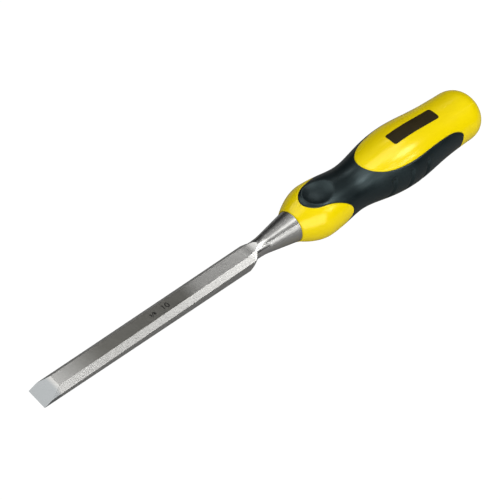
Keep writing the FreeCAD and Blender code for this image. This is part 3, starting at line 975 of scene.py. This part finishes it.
def arcPath(cx, cy, rx, ry, first, last, count):
    turns = [math.radians(first + (last - first) * i / count) for i in range(count + 1)]
    return [(cx + rx * math.cos(a), cy + ry * math.sin(a)) for a in turns]


digitPaths = {       # on a box 0.6 wide and 1 high
    "0": [arcPath(0.3, 0.5, 0.26, 0.46, 0, 360, 32)],
    "1": [[(0.12, 0.78), (0.34, 0.96), (0.34, 0.04)]],
    "3": [arcPath(0.27, 0.73, 0.24, 0.22, 150, -90, 18) + arcPath(0.27, 0.27, 0.27, 0.24, 90, -150, 18)],
    "8": [arcPath(0.3, 0.73, 0.21, 0.22, 0, 360, 26), arcPath(0.3, 0.27, 0.26, 0.24, 0, 360, 26)],
    "/": [[(0.05, 0.0), (0.5, 1.0)]],
}


def strokeMesh(path, width):
    p = np.array(path)
    along = np.gradient(p, axis=0)
    along /= np.maximum(np.linalg.norm(along, axis=1), 1e-9)[:, None]
    across = np.column_stack([-along[:, 1], along[:, 0]]) * width / 2
    n = len(p)
    flat = np.concatenate([p + across, p - across])
    face = et["faceAtEdge"] + et["faceSlope"] * flat[:, 0]
    points = np.concatenate([np.column_stack([flat, face + up]) for up in (et["proud"], -et["sunk"])])
    faces = []
    for i in range(n - 1):
        faces.append((n + i, n + i + 1, i + 1, i))
        faces.append((2 * n + i, 2 * n + i + 1, 3 * n + i + 1, 3 * n + i))
        faces.append((i, i + 1, 2 * n + i + 1, 2 * n + i))
        faces.append((n + i + 1, n + i, 3 * n + i, 3 * n + i + 1))
    faces.append((0, 2 * n, 3 * n, n))
    faces.append((2 * n - 1, 4 * n - 1, 3 * n - 1, n - 1))
    return points, faces


etchPoints, etchFaces, total = [], [], 0
for text, startX, size in et["marks"]:
    height = et["height"] * size
    width = et["stroke"] * (et["thinnest"] + (1 - et["thinnest"]) * size)
    for k, digit in enumerate(text):
        for path in digitPaths[digit]:
            placed = [(startX + (px + k * et["pitch"]) * height, (py - 0.5) * height) for px, py in path]
            points, faces = strokeMesh(placed, width)
            etchPoints.append(points)
            etchFaces += [tuple(i + total for i in f) for f in faces]
            total += len(points)
etched = grainyMaterial("etchedMark", etchLook)
newPiece("etchedNumbers", np.concatenate(etchPoints), etchFaces, "blade_steel", [etched])
print("etched numbers:", len(etchFaces), "faces")

# Floor, light and camera

studio = {
    "floorHalf": 3,
    "floorTone": 0.24,       # what the floor gives back to the tool
    "floorUneven": 1.04,
    "floorCloud": (9.0, 3.0),
    "floorRoughness": 0.7,
    "floorGlow": 1.17,       # how bright it looks by itself
    "glowShare": 0.86,
    "sky": 0.15,
    "horizon": 0.03,
    "skyFrom": 0.4,          # the studio is darker towards the horizon
    "skyTo": 0.9,
    "aim": (0.02, 0, 0.01),
    "lights": (              # name, towards, distance, width, height, power
        ("keyBox", (0.44, -0.72, 0.54), 0.9, 0.24, 0.12, 0.5),
        ("noseBox", (0.19, -0.73, 0.66), 0.9, 0.12, 0.09, 0.17),
        ("sheenBox", (0.44, -0.42, 0.79), 0.9, 0.24, 0.2, 1.25),
        ("topBox", (-0.38, 0.46, 0.81), 1.1, 1.15, 0.95, 4.6),
        ("overBox", (0.28, -0.1, 0.95), 1.0, 0.5, 0.36, 1.4),
        ("fillBox", (-0.45, -0.82, 0.3), 1.2, 1.6, 1.0, 13.5),
        ("neckBox", (0.52, 0.45, 0.72), 1.0, 0.22, 0.22, 0.36),
    ),
}


def floorMaterial():
    material, tree, surface = newMaterial("paleFloor")
    surface["Roughness"].default_value = studio["floorRoughness"]
    coordinates = tree.nodes.new("ShaderNodeTexCoord")
    cloud = noiseNode(tree, coordinates.outputs["Object"], *studio["floorCloud"])
    tone = studio["floorTone"]
    low, high = ((v, v, v, 1) for v in (tone, tone * studio["floorUneven"]))
    tree.links.new(mixColour(tree, cloud, low, high), surface["Base Color"])
    glow = tree.nodes.new("ShaderNodeEmission")
    glow.inputs["Strength"].default_value = studio["floorGlow"]
    blend = tree.nodes.new("ShaderNodeMixShader")
    path = tree.nodes.new("ShaderNodeLightPath")
    share = mathNode(tree, "MULTIPLY", path.outputs["Is Camera Ray"], studio["glowShare"])
    output = next(n for n in tree.nodes if n.type == "OUTPUT_MATERIAL").inputs["Surface"]
    plain = output.links[0].from_socket
    for value, socket in ((share, blend.inputs[0]), (plain, blend.inputs[1]),
                          (glow.outputs["Emission"], blend.inputs[2]), (blend.outputs[0], output)):
        tree.links.new(value, socket)
    return material


mesh = bpy.data.meshes.new("studioFloor")
far = studio["floorHalf"]
mesh.from_pydata([(-far, -far, 0), (far, -far, 0), (far, far, 0), (-far, far, 0)], [], [(0, 1, 2, 3)])
mesh.materials.append(floorMaterial())
floor = bpy.data.objects.new("studioFloor", mesh)
bpy.context.scene.collection.objects.link(floor)


def softBox(name, towards, distance, width, height, power):
    data = bpy.data.lights.new(name, "AREA")
    data.shape = "RECTANGLE"
    data.size, data.size_y = width, height
    data.energy = power
    lamp = bpy.data.objects.new(name, data)
    bpy.context.scene.collection.objects.link(lamp)
    direction = Vector(towards).normalized()
    lamp.location = Vector(studio["aim"]) + direction * distance
    lamp.rotation_euler = (-direction).to_track_quat("-Z", "Y").to_euler()


for light in studio["lights"]:
    softBox(*light)
world = bpy.data.worlds.new("studioWorld")
bpy.context.scene.world = world
world.use_nodes = True
sky = world.node_tree
skyPlace = sky.nodes.new("ShaderNodeTexCoord")
skyAxes = sky.nodes.new("ShaderNodeSeparateXYZ")
sky.links.new(skyPlace.outputs["Generated"], skyAxes.inputs[0])
background = sky.nodes["Background"]
background.inputs["Color"].default_value = (1, 1, 1, 1)
level = rampNode(sky, skyAxes.outputs[2], studio["skyFrom"], studio["skyTo"],
                 studio["horizon"], studio["sky"])
skyPath = sky.nodes.new("ShaderNodeLightPath")
level = mathNode(sky, "MAXIMUM", level, skyPath.outputs["Is Camera Ray"])
sky.links.new(level, background.inputs["Strength"])
bpy.context.scene.view_settings.view_transform = "Standard"
print("studio:", len(studio["lights"]), "lights")

cameraSetup = {
    "place": (-146.13, -238.95, 395.41),     # along the tool, like the shapes above
    "forward": (0.48301, 0.45409, -0.74866),
    "right": (0.73241, -0.67810, 0.06123),
    "lens": 92.67,
    "sensor": 36,
    "nearest": 0.01,
    "nudge": 0.001,                          # share of the frame, right and down
}
cameraData = bpy.data.cameras.new("studioCamera")
cameraData.lens = cameraSetup["lens"]
cameraData.sensor_width = cameraSetup["sensor"]
cameraData.clip_start = cameraSetup["nearest"]
cameraData.shift_x = -cameraSetup["nudge"]
cameraData.shift_y = cameraSetup["nudge"]
camera = bpy.data.objects.new("studioCamera", cameraData)
bpy.context.scene.collection.objects.link(camera)
lay = Matrix.Rotation(-tilt, 3, "Y")
forward = (lay @ Vector(cameraSetup["forward"])).normalized()
right = lay @ Vector(cameraSetup["right"])
right = (right - forward * right.dot(forward)).normalized()
up = right.cross(forward)
place = toRow([cameraSetup["place"]])[0]
camera.matrix_world = Matrix((
    (right.x, up.x, -forward.x, place[0]),
    (right.y, up.y, -forward.y, place[1]),
    (right.z, up.z, -forward.z, place[2]),
    (0, 0, 0, 1)))
bpy.context.scene.camera = camera
